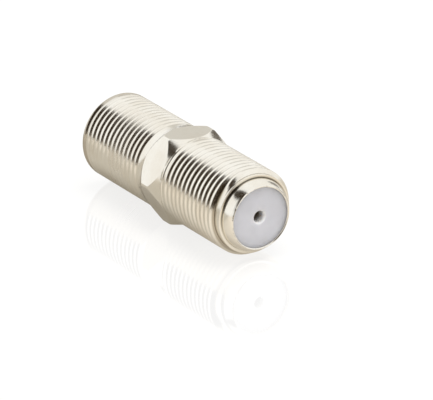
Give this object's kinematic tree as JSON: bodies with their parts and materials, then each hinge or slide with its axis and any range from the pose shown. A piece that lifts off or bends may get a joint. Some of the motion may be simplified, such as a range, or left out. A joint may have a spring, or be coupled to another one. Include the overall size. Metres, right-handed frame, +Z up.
{
  "type": "coaxial coupler",
  "caption": "Barrel coupler for screw-on coaxial plugs: an outside thread at both ends, a short hexagon between them, and a contact socket in each end.",
  "frame": {"origin": "on the axis of the barrel, at the middle of the hexagon, which is also the centre of the whole part", "axes": "+X along the axis towards the front end with the rolled nose, +Z up from the hexagon flat that the part lies on"},
  "size_m": [0.0281, 0.011, 0.0096],
  "materials": {
    "nickel": "bright nickel plate over turned brass",
    "insulator": "pale grey moulded plastic, smooth",
    "contact": "rolled spring bronze, satin"
  },
  "bodies": {
    "root": {"body": "nickel", "front_insulator": "insulator", "rear_insulator": "insulator", "centre_contact": "contact"}
  },
  "joints": []
}
